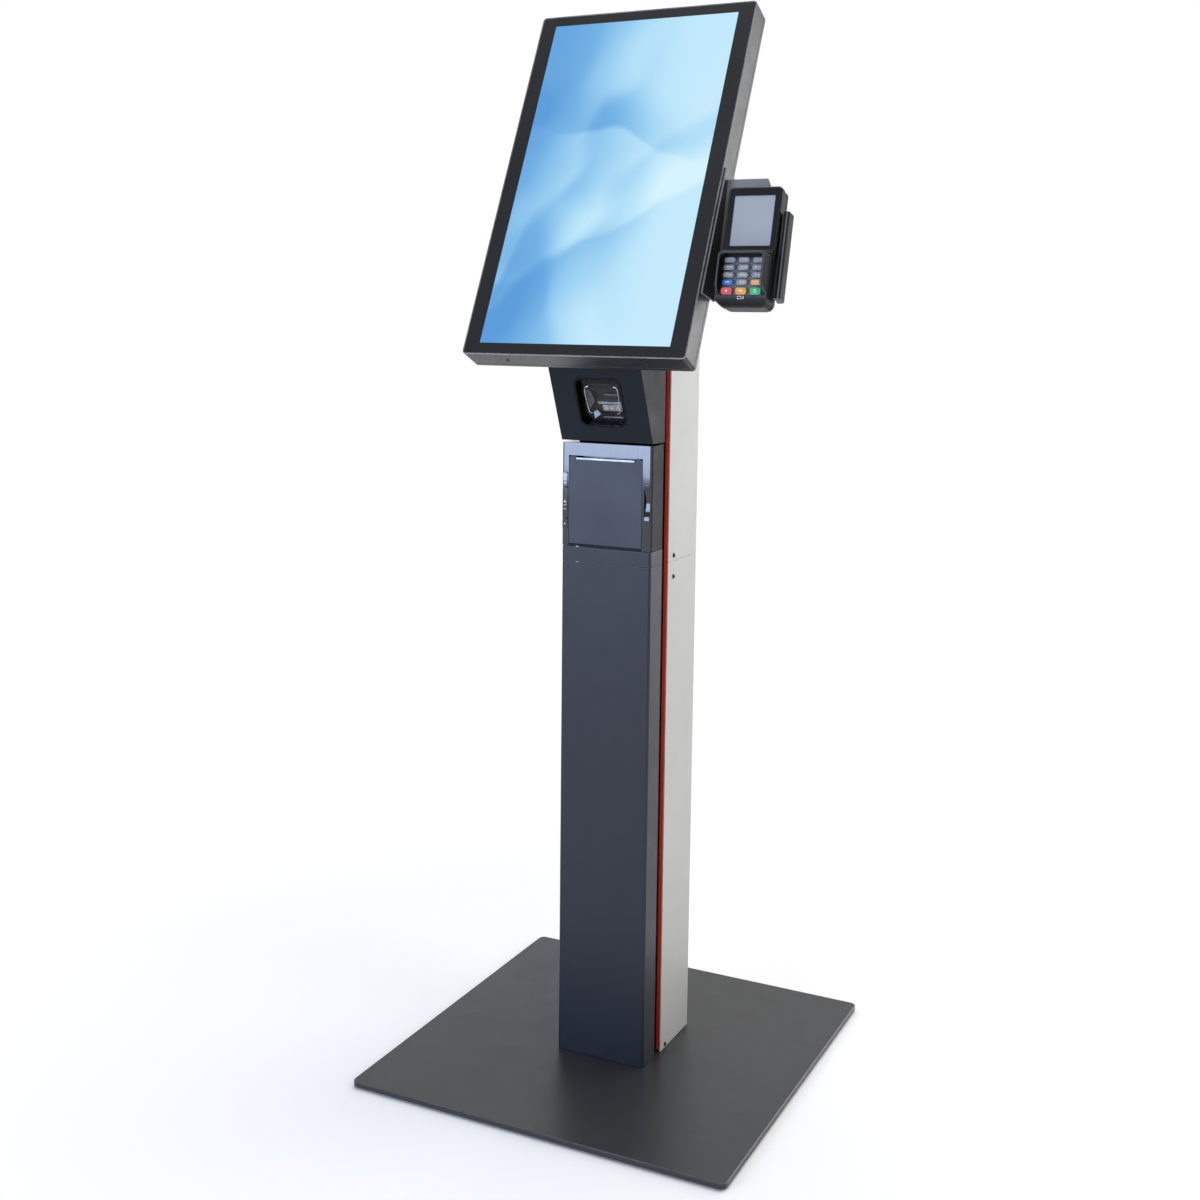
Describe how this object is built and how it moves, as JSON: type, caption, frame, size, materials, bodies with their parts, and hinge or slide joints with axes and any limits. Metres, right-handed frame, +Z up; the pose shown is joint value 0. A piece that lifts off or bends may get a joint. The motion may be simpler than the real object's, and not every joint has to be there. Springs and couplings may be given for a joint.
{
  "type": "touchscreen kiosk",
  "caption": "Free-standing self-service kiosk: tilting portrait touchscreen on a slim column with code scanner, receipt printer, side payment terminal and a square floor plate.",
  "frame": {"origin": "on the floor, under the middle of the floor plate", "axes": "+Z up, -Y is the front that the user faces, +X is the user's right, where the payment terminal is"},
  "size_m": [0.54, 0.54, 1.4453],
  "materials": {
    "plate_paint": "fine textured powder coat",
    "cover_paint": "satin powder coat",
    "shell_paint": "satin powder coat",
    "head_paint": "satin powder coat",
    "mast_steel": "matte black primer",
    "red_trim": "satin red",
    "pad_rubber": "matte",
    "dark_plastic": "satin",
    "gloss_plastic": "high gloss",
    "door_plastic": "satin",
    "status_lens": "clear gloss over dark",
    "bare_steel": "fine brushed",
    "platen_rubber": "ground rubber",
    "receipt_paper": "thermal paper",
    "scanner_gloss": "high gloss",
    "scanner_glass": "tinted pane",
    "lamp_silver": "bright reflector",
    "screen_glass": "dark bordered cover glass",
    "lit_screen": "lit display",
    "terminal_case": "fine moulded texture",
    "terminal_screen": "display off, anti-glare",
    "key_grey": "silicone key",
    "key_blue": "silicone key",
    "key_amber": "silicone key",
    "key_red": "silicone key",
    "key_yellow": "silicone key",
    "key_green": "silicone key"
  },
  "bodies": {
    "stand": {"base_plate": "plate_paint", "mast": "mast_steel", "front_cover": "cover_paint", "cover_band": "cover_paint", "upper_front_cover": "cover_paint", "column_cap": "cover_paint", "rear_shell_lower": "shell_paint", "rear_shell_upper": "shell_paint", "red_trim_left": "red_trim", "red_trim_right": "red_trim", "power_inlet": "dark_plastic", "printer_housing": "gloss_plastic", "status_strip": "status_lens", "print_head": "bare_steel", "scanner_hood": "cover_paint", "scanner_bezel": "scanner_gloss", "scanner_window": "scanner_glass", "scanner_engine": "dark_plastic", "scanner_lamps": "lamp_silver", "tilt_bracket": "head_paint", "tilt_pin": "bare_steel", "floor_pad_front_left": "pad_rubber", "floor_pad_front_right": "pad_rubber", "floor_pad_rear_left": "pad_rubber", "floor_pad_rear_right": "pad_rubber"},
    "head": {"mount_plate": "head_paint", "tilt_yoke": "head_paint", "head_casing": "head_paint", "head_rear_cover": "head_paint", "cover_glass": "screen_glass", "display_panel": "lit_screen", "terminal_front_case": "terminal_case", "terminal_back_case": "terminal_case", "terminal_display": "terminal_screen", "card_reader_rail": "terminal_case", "privacy_shield": "terminal_case", "terminal_bracket": "head_paint", "terminal_cradle": "dark_plastic"},
    "printer_door": {"printer_door": "door_plastic", "tear_bar": "bare_steel"},
    "platen_roller": {"platen_roller": "platen_rubber"},
    "paper_roll": {"paper_roll": "receipt_paper"},
    "feed_button": {"feed_button": "gloss_plastic"},
    "power_button": {"power_button": "gloss_plastic"},
    "release_lever": {"release_lever": "gloss_plastic"},
    "key_0": {"key_0": "key_grey"},
    "key_1": {"key_1": "key_grey"},
    "key_2": {"key_2": "key_grey"},
    "key_3": {"key_3": "key_grey"},
    "key_4": {"key_4": "key_grey"},
    "key_5": {"key_5": "key_grey"},
    "key_6": {"key_6": "key_grey"},
    "key_7": {"key_7": "key_grey"},
    "key_8": {"key_8": "key_grey"},
    "key_9": {"key_9": "key_grey"},
    "key_function": {"key_function": "key_blue"},
    "key_menu": {"key_menu": "key_amber"},
    "key_cancel": {"key_cancel": "key_red"},
    "key_clear": {"key_clear": "key_yellow"},
    "key_enter": {"key_enter": "key_green"}
  },
  "joints": [
    {"name": "head_tilt", "type": "hinge", "parent": "stand", "child": "head", "pos_m": [0, 0, 1.187], "axis": [-1, 0, 0], "range_deg": [-5, 20]},
    {"name": "printer_door_hinge", "type": "hinge", "parent": "stand", "child": "printer_door", "pos_m": [0, -0.0585, 0.7335], "axis": [1, 0, 0], "range_deg": [0, 90]},
    {"name": "platen_spin", "type": "hinge", "parent": "printer_door", "child": "platen_roller", "pos_m": [-0.002, -0.05, 0.842], "axis": [1, 0, 0], "continuous": true},
    {"name": "paper_roll_spin", "type": "hinge", "parent": "stand", "child": "paper_roll", "pos_m": [-0.002, 0.004, 0.761], "axis": [1, 0, 0], "continuous": true},
    {"name": "feed_button_press", "type": "slide", "parent": "stand", "child": "feed_button", "axis": [0, 1, 0], "range_m": [0, 0.0012], "stiffness_N_per_m": 700},
    {"name": "power_button_press", "type": "slide", "parent": "stand", "child": "power_button", "axis": [0, 1, 0], "range_m": [0, 0.0012], "stiffness_N_per_m": 700},
    {"name": "release_lever_press", "type": "slide", "parent": "stand", "child": "release_lever", "axis": [0, 1, 0], "range_m": [0, 0.002], "stiffness_N_per_m": 900},
    {"name": "key_0_press", "type": "slide", "parent": "head", "child": "key_0", "axis": [0, 0.9659, -0.2588], "range_m": [0, 0.0009], "stiffness_N_per_m": 800},
    {"name": "key_1_press", "type": "slide", "parent": "head", "child": "key_1", "axis": [0, 0.9659, -0.2588], "range_m": [0, 0.0009], "stiffness_N_per_m": 800},
    {"name": "key_2_press", "type": "slide", "parent": "head", "child": "key_2", "axis": [0, 0.9659, -0.2588], "range_m": [0, 0.0009], "stiffness_N_per_m": 800},
    {"name": "key_3_press", "type": "slide", "parent": "head", "child": "key_3", "axis": [0, 0.9659, -0.2588], "range_m": [0, 0.0009], "stiffness_N_per_m": 800},
    {"name": "key_4_press", "type": "slide", "parent": "head", "child": "key_4", "axis": [0, 0.9659, -0.2588], "range_m": [0, 0.0009], "stiffness_N_per_m": 800},
    {"name": "key_5_press", "type": "slide", "parent": "head", "child": "key_5", "axis": [0, 0.9659, -0.2588], "range_m": [0, 0.0009], "stiffness_N_per_m": 800},
    {"name": "key_6_press", "type": "slide", "parent": "head", "child": "key_6", "axis": [0, 0.9659, -0.2588], "range_m": [0, 0.0009], "stiffness_N_per_m": 800},
    {"name": "key_7_press", "type": "slide", "parent": "head", "child": "key_7", "axis": [0, 0.9659, -0.2588], "range_m": [0, 0.0009], "stiffness_N_per_m": 800},
    {"name": "key_8_press", "type": "slide", "parent": "head", "child": "key_8", "axis": [0, 0.9659, -0.2588], "range_m": [0, 0.0009], "stiffness_N_per_m": 800},
    {"name": "key_9_press", "type": "slide", "parent": "head", "child": "key_9", "axis": [0, 0.9659, -0.2588], "range_m": [0, 0.0009], "stiffness_N_per_m": 800},
    {"name": "key_function_press", "type": "slide", "parent": "head", "child": "key_function", "axis": [0, 0.9659, -0.2588], "range_m": [0, 0.0009], "stiffness_N_per_m": 800},
    {"name": "key_menu_press", "type": "slide", "parent": "head", "child": "key_menu", "axis": [0, 0.9659, -0.2588], "range_m": [0, 0.0009], "stiffness_N_per_m": 800},
    {"name": "key_cancel_press", "type": "slide", "parent": "head", "child": "key_cancel", "axis": [0, 0.9659, -0.2588], "range_m": [0, 0.0009], "stiffness_N_per_m": 800},
    {"name": "key_clear_press", "type": "slide", "parent": "head", "child": "key_clear", "axis": [0, 0.9659, -0.2588], "range_m": [0, 0.0009], "stiffness_N_per_m": 800},
    {"name": "key_enter_press", "type": "slide", "parent": "head", "child": "key_enter", "axis": [0, 0.9659, -0.2588], "range_m": [0, 0.0009], "stiffness_N_per_m": 800}
  ],
  "couplings": [
    {"joint": "platen_spin", "follows": "paper_roll_spin", "ratio": -5}
  ]
}
